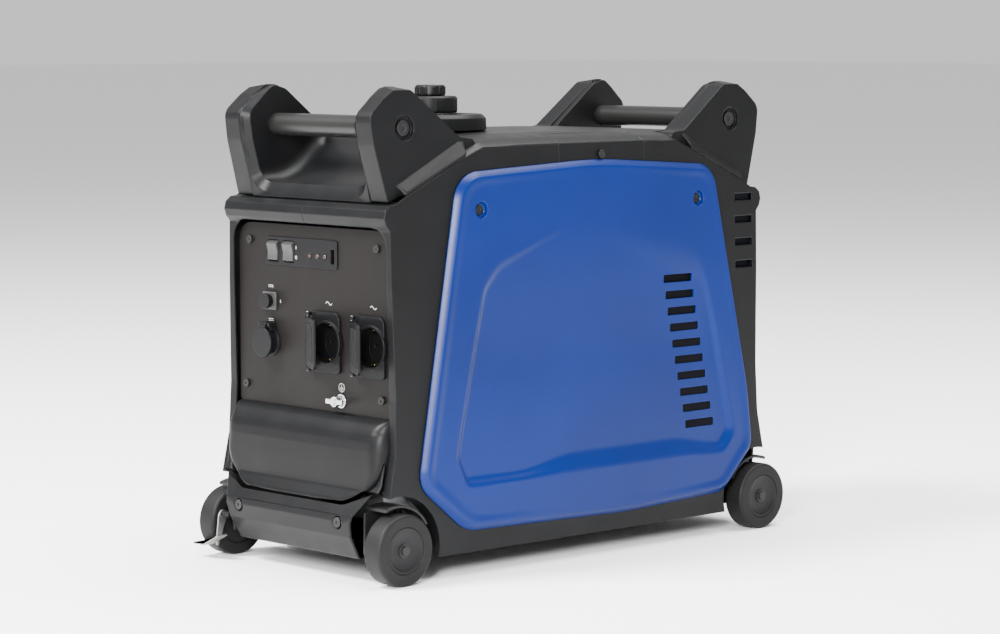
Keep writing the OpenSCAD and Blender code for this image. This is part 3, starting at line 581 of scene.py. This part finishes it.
def half_width(outline, z):
    """Half width of a symmetrical outline at a height."""
    return max(a.x + (b.x - a.x) * (z - a.y) / (b.y - a.y)
               for a, b in zip(outline, outline[1:] + outline[:1])
               if min(a.y, b.y) <= z <= max(a.y, b.y) and a.y != b.y)


def lower_cover():
    """The U-shaped cover: rows across its face at rising heights, turned in at both ends."""
    outline = rounded(LOWER, 12)
    softer = [LOWER_LINE[0]]
    for a, b, c in zip(LOWER_LINE, LOWER_LINE[1:], LOWER_LINE[2:]):
        near = 0.12 if b[1] == FOLD else 0.42
        softer += [(b[0] + (a[0] - b[0]) * near, b[1] + (a[1] - b[1]) * near),
                   ((a[0] + c[0]) * near * 0.25 + b[0] * (1 - near * 0.5),
                    (a[1] + c[1]) * near * 0.25 + b[1] * (1 - near * 0.5)),
                   (b[0] + (c[0] - b[0]) * near, b[1] + (c[1] - b[1]) * near)]
    softer.append(LOWER_LINE[-1])
    heights = [83.51, 83.7, 84.2, 85] + [86 + k * 1.15 for k in range(71)] + [167.2, 167.7, 167.95]
    rows = []
    for z in heights:
        width, front = half_width(outline, z), along_line(softer, z)
        edge = max(1.6 - (z - LOWER_FOOT), 0, 1.4 - (LOWER_TOP - z))
        front += edge ** 2 * 0.6
        r = min(6 + 8 * ease((z - 105) / 35), 0.8 * (LOWER_BACK - front))
        row = [(width, LOWER_BACK)]
        row += [(width - r * (1 - cos(k * pi / 16)), front + r * (1 - sin(k * pi / 16))) for k in range(9)]
        row += [((width - r) * (1 - k / 20), front - 0.8 * ease(k / 12)) for k in range(1, 20)]
        row = row + [(0, front - 0.8)] + [(-x, y) for x, y in row[::-1]]
        rows.append([(x, y, z) for x, y in row])
    rows.insert(0, [(x, LOWER_BACK, LOWER_FOOT) for x, y, z in rows[0]])
    rows.append([(x, LOWER_BACK, LOWER_TOP) for x, y, z in rows[-1]])
    mesh = skin("front_lower_cover", rows, close=False)
    piece = placed("fine_front_lower_cover", mesh, SLOT["front_lower_cover"], "set", ["front_lower_cover"])
    thickened(piece, 2.5)
    smoothed(piece, 32)


lower_cover()

# ---- deck with its two hand wells -----------------------------------------------------------------------

WELL = 87                                # half width of a hand well between its walls
CHEEK = 95.5                             # half the distance between the inner cheeks of the ears
EAR_IN = 145.4                           # distance of the ears' inner ends from the middle
# outline of an ear seen from the side: y, height, radius
EAR = [(-271.5, 392.2, 2), (-253.7, 399.8, 4), (-171, 437.8, 12), (-146, 448, 4), (-152, 455.5, 3),
       (-170, 457.5, 12), (-234, 506, 14), (-250, 510.8, 12), (-272, 500, 30), (-293, 482, 14),
       (-288.5, 452, 30)]
# floor of a hand well in the middle plane: height, y
DECK_LINE = [(407.5, -275), (407.6, -262), (408.5, -240), (420, -216), (443, -192), (457.5, -172)]
# the deck's shoulder, seen from the front: x, height
SHOULDER = [(87, 459), (90, 458.5), (104, 456.5), (119, 453.5), (128.4, 448.5), (129.4, 447)]
END = Vector((-172, 457.5))              # where a hand well meets the crown of the deck


def at_length(path, share):
    """Point of an open line at a share of its length."""
    steps = [(b - a).length for a, b in zip(path, path[1:])]
    left = share * sum(steps)
    for a, b, step in zip(path, path[1:], steps):
        if left <= step and step > 0:
            return a.lerp(b, left / step)
        left -= step
    return path[-1].copy()


def length_of(path):
    """Length of an open line."""
    return sum((b - a).length for a, b in zip(path, path[1:]))


def well_section(path, wide, bend, samples, narrow=None):
    """Half of a hand well's section, from the middle of its floor up its wall, with a strip on top."""
    high = length_of(path)
    r = min(bend, 0.6 * high)
    points = [((wide - r) * k / 14, *path[0]) for k in range(14)]
    for k in range(9):
        turn = k * pi / 16
        points.append((wide - r + r * sin(turn), *at_length(path, r * (1 - cos(turn)) / max(high, 1e-6))))
    for k in range(1, samples + 1):
        share = (r + (high - r) * k / samples) / max(high, 1e-6)
        points.append((wide if narrow is None else narrow(share), *at_length(path, share)))
    top = path[-1]
    return points + [(WELL + 1, top.x, top.y), (CHEEK, top.x, top.y - 0.2), (CHEEK, top.x, top.y - 5)]


def both_halves(half):
    """The half section with its mirror image in front of it."""
    return [(-x, y, z) for x, y, z in half[:0:-1]] + half


def hand_well():
    """The front hand well: the inner cheeks of the ears, closing in to the well's walls, then its floor."""
    count = 9                                    # points on each corner of the ear
    arcs = rounded(EAR, count - 1)
    foot = Vector((-272.75, 396.7))
    outer = [foot] + [arcs[k] for k in range(11 * count - 1, 7 * count - 1, -1)]
    top = [arcs[7 * count]] + [arcs[k] for k in range(7 * count - 1, 6 * count - 1, -1)] + [END]

    def fade(share):
        return 1 - ease((share - 0.74) / 0.26)

    first = next(k / 400 for k in range(400) if at_length(outer, k / 400).y > 407.5)
    inner = []
    for k in range(61):
        share = first + (1 - first) * k / 60
        inner.append(at_length(outer, share) + Vector((9 * fade(share), 0)))
    lip = [Vector((-272.9, 392.3)), Vector((-272.9, 396.7))] + outer[1:]
    rings = [well_section([p + Vector((4, 0)) for p in lip], 95.6, 0.4, 30),
             well_section(lip, 95.6, 0.4, 30),
             well_section(outer, CHEEK, 25, 30),
             well_section(outer, CHEEK, 25, 30, narrow=lambda share: WELL + (CHEEK - WELL) * fade(share))]
    start, apex = inner[0], inner[-1]
    for i in range(45):
        v = i / 44
        y = start.x + (END.x - start.x) * v
        floor_z = sum(along_line([(z, at) for z, at in DECK_LINE], y + 3 * k) for k in range(-3, 4)) / 7
        low = Vector((y, floor_z + (END.y - floor_z) * ease((v - 0.85) / 0.15)))
        high = at_length(top, v)
        wall = [low.lerp(high, k / 60) + (inner[k] - start.lerp(apex, k / 60)) * (1 - v) ** 1.5
                for k in range(61)]
        rings.append(well_section(wall, WELL, 16, 30))
    return skin("well", [both_halves(ring) for ring in rings], close=False)


def deck_height(x, y):
    """Height of the deck's crown, with its rounded shoulders between the ears."""
    spine = along_line([(457.5, -172), (460, -100), (460.5, 0), (460, 100), (457.5, 172)], y)
    if abs(x) <= WELL:
        return spine - 1.3 * (x / WELL) ** 2 * (1 - ease((abs(y) - 145) / 27))
    edge = spine - 1.3 * (1 - ease((abs(y) - 145) / 27))
    drop = along_line([(z, at) for at, z in SHOULDER], abs(x)) - 459
    return edge + drop * (1 - ease((abs(y) - 146) / 22))


def slab_box(low, high):
    """A closed box."""
    (x0, y0, z0), (x1, y1, z1) = low, high
    ring = [(x0, y0), (x1, y0), (x1, y1), (x0, y1)]
    return closed(skin("box", [[(x, y, z) for x, y in ring] for z in (z0, z1)], cap=True))


def top_deck():
    """The deck: its crown, a hand well at each end, and the cuts for the hatch and the filler."""
    xs = [-WELL + WELL * k / 20 for k in range(41)]
    sides = [88, 90, 92.5, CHEEK]
    far = [98, 104, 111, 119, 122, 125, 128.4, 129, 129.4]
    narrow_x = [-x for x in sides[::-1]] + xs + sides
    wide_x = [-x for x in far[::-1]] + narrow_x + far
    middle = [-EAR_IN + 2 * EAR_IN * k / 60 for k in range(61)]
    parts = [skin("crown", [[(x, y, deck_height(x, y)) for x in wide_x] for y in middle], close=False)]
    ends = [-172 + 26.6 * k / 8 for k in range(9)]
    parts.append(skin("crown", [[(x, y, deck_height(x, y)) for x in narrow_x] for y in ends], close=False))
    parts.append(hand_well())
    # the shoulder runs on down the slope of the side wall, past the foot of each ear
    for side in (-1, 1):
        rows = []
        for k in range(9):
            y = -EAR_IN - 27 * k / 8
            down = 447 - along_line([(447, -EAR_IN), (447, -146), (437, -171), (436.5, -172.4)], y)
            across = (119, 122, 125, 128.4, 129, 129.4 + down * 0.025)
            rows.append([(side * x, y, deck_height(x, -EAR_IN) - down) for x in across])
        parts.append(skin("slope", rows, close=False))
    # all but the crown's middle once more, mirrored for the rear end
    for part in parts[1:5]:
        other = part.copy()
        for point in other.vertices:
            point.co.y *= -1
        other.flip_normals()
        parts.append(other)
    mesh = joined("top_deck", parts)
    bm = bmesh.new()
    bm.from_mesh(mesh)
    bmesh.ops.remove_doubles(bm, verts=bm.verts, dist=0.00005)
    bmesh.ops.dissolve_degenerate(bm, edges=bm.edges, dist=0.00002)
    bmesh.ops.recalc_face_normals(bm, faces=bm.faces)
    if sum(f.normal.z * f.calc_area() for f in bm.faces) < 0:
        bmesh.ops.reverse_faces(bm, faces=bm.faces)
    bm.to_mesh(mesh)
    bm.free()
    piece = placed("fine_top_deck", mesh, SLOT["top_deck"], "set", ["top_deck"])
    thickened(piece, 2.4)
    notch = [slab_box((99, -36.5, 430), (160, 94.5, 480))]
    hole = [[(x, y - 104, z) for x, y in circle(0, 0, 40, 64)] for z in (440, 480)]
    notch.append(closed(skin("hole", hole, cap=True)))
    cut_by(piece, joined("notch", notch))
    smoothed(piece, 30)


top_deck()

# ---- plain marks printed on the panel --------------------------------------------------------------------


PANEL_FACE, BEZEL_FACE = -270.14, -271.74        # y of the marks on each


def ribbon(points, width, y):
    """A flat printed line through points (x, z)."""
    left, right = [], []
    for i, (x, z) in enumerate(points):
        a, b = points[max(i - 1, 0)], points[min(i + 1, len(points) - 1)]
        along = (Vector(b) - Vector(a)).normalized() * width / 2
        left.append((x - along.y, y, z + along.x))
        right.append((x + along.y, y, z - along.x))
    return skin("ribbon", [left, right], close=False, flip=True)


def ring_line(x, z, r, count=32):
    """A circle as a line that ends where it starts."""
    return [(x + r * cos(2 * pi * k / count), z + r * sin(2 * pi * k / count)) for k in range(count + 1)]


def panel_marks():
    """Generic signs beside the controls, as lines of points (x, z) and a width."""
    lines = []
    # earth sign over the terminal
    lines.append((ring_line(46, 197, 4.4), 0.6))
    lines.append(([(46, 200), (46, 196.6)], 0.6))
    lines += [([(46 - w, 196.6 - d), (46 + w, 196.6 - d)], 0.6) for w, d in ((2.8, 0), (1.8, 1.3), (0.8, 2.6))]
    # alternating current over each mains socket
    for x in (26, 97):
        lines.append(([(x - 5 + k * 0.5, 284 + 1.6 * sin(k * pi / 10)) for k in range(21)], 0.7))
    # direct current over the breaker and the 12 V socket
    for x, z in ((-70, 297.5), (-70, 261.5)):
        lines.append(([(x - 4, z), (x + 4, z)], 0.6))
        lines += [([(x - 4 + 3 * k, z - 1.8), (x - 2 + 3 * k, z - 1.8)], 0.6) for k in range(3)]
    # on and off beside the rockers and the breaker
    for x, z in ((-25.5, 340), (-54, 281)):
        lines.append(([(x, z - 1.6), (x, z + 1.6)], 0.8))
    lines.append((ring_line(-25.5, 329.5, 1.5, count=20), 0.55))
    meshes = [ribbon(points, width, BEZEL_FACE if 320 < points[0][1] < 345 else PANEL_FACE)
              for points, width in lines]
    placed("panel_marks", joined("panel_marks", meshes), "grey_plastic", "set")


panel_marks()

# ---- the other outside nodes, and a dark sheet of painted shade behind the vents --------------------------

# width of each node's softened edges
REFINED = {
    "handle_bars": 0.4, "handle_bolts": 0.5, "front_bumper": 1.4, "rear_bumper": 1.4,
    "rear_cover": 1.0, "top_hatch": 0.8, "cover_screws": 0.3,
    "fuel_collar": 0.8, "fuel_cap": 0.5, "vent_knob": 0.4, "base_frame": 0.5,
    "tyre_front_left": 1.0, "tyre_front_right": 1.0, "tyre_rear_left": 1.0, "tyre_rear_right": 1.0,
    "hub_front_left": 0.6, "hub_front_right": 0.6, "hub_rear_left": 0.6, "hub_rear_right": 0.6,
    "wheel_bolts": 0.4, "foot_brake": 0.6, "brake_pin": 0.3, "control_panel": 0.5, "panel_screws": 0.3,
    "switch_bezel": 0.4, "economy_rocker": 0.4, "engine_rocker": 0.4, "indicator_lights": 0.3,
    "breaker_body": 0.4, "breaker_button": 0.4, "dc_socket": 0.4, "dc_socket_cap": 0.5,
    "ac_sockets": 0.5, "earth_clips": 0.2, "flap_pins": 0.2, "socket_flap_left": 0.5,
    "socket_flap_right": 0.5, "ground_stud": 0.3, "ground_nut": 0.4,
    "recoil_grip": 0.8,
}
REDRAWN = ("left_side_cover", "right_side_cover", "front_lower_cover", "top_deck")

for node, width in REFINED.items():
    refined(node, width * MM)

# dark sheet behind the corner vents, which paints the shade inside the case seen through them
for side in (-1, 1):
    line = [(side * 128, 238), (side * 128, 268), (side * 122, 272.5), (side * 98, 272.5)]
    rings = [[(x, y, z) for x, y in line] for z in (294, 392)]
    vent_shade = placed("vent_shade_sheet_" + ("right" if side > 0 else "left"), skin("vent_shade", rings, close=False),
                   "black_plastic", "set")
    thickened(vent_shade, 1.5)
    vent_shade.data.materials[0] = MATERIAL["slot_shadow"]

# the nodes that are left keep their CAD meshes
for name, source in NODES.items():
    if name not in REFINED and name not in REDRAWN:
        for place in source.material_slots:
            place.material = MATERIAL[LOOK.get(name, SLOT[name])]

# ---- floor, light and camera ---------------------------------------------------------------------

floor_mesh = made_mesh("floor", [(-40, -40, 0), (40, -40, 0), (40, 40, 0), (-40, 40, 0)], [(0, 1, 2, 3)])
floor = bpy.data.objects.new("floor", floor_mesh)
bpy.context.collection.objects.link(floor)
paper = Graph("pale_floor")
pale = paper.mixed(paper.noise(1.5), (0.89, 0.89, 0.89), (0.91, 0.91, 0.91))
floor_mesh.materials.append(paper.finish(pale, 0.8, paper.bump(paper.noise(300.0), 0.0001, 0.3)))


def area_light(name, place, target, size, power):
    """A soft white lamp that faces its target."""
    data = bpy.data.lights.new(name, "AREA")
    data.shape = "RECTANGLE"
    data.size, data.size_y = size
    data.energy = power
    light = bpy.data.objects.new(name, data)
    bpy.context.collection.objects.link(light)
    light.location = place
    light.rotation_euler = (Vector(target) - Vector(place)).to_track_quat("-Z", "Y").to_euler()


area_light("key", (-0.9, -2.2, 2.8), (0, 0, 0.25), (1.1, 1.1), 480)
area_light("front", (2.2, -2.9, 1.4), (0, 0, 0.25), (0.7, 1.0), 380)
area_light("top", (0.3, 0.6, 3.2), (0, 0, 0.2), (2.5, 2.5), 300)

world = bpy.data.worlds.new("studio")
world.use_nodes = True
world.node_tree.nodes["Background"].inputs["Color"].default_value = (1, 1, 1, 1)
world.node_tree.nodes["Background"].inputs["Strength"].default_value = 0.85
bpy.context.scene.world = world

lens_data = bpy.data.cameras.new("camera")
lens_data.lens = 109.5
lens_data.sensor_width = 36
camera = bpy.data.objects.new("camera", lens_data)
bpy.context.collection.objects.link(camera)
# fitted to the photo's view: 5.38 degrees down, from 46.77 degrees to the right of the front
camera.location = (2.4561, -2.3090, 0.5680)
camera.rotation_euler = (radians(90 - 5.38), 0, radians(46.77))
bpy.context.scene.camera = camera

bpy.context.view_layer.update()
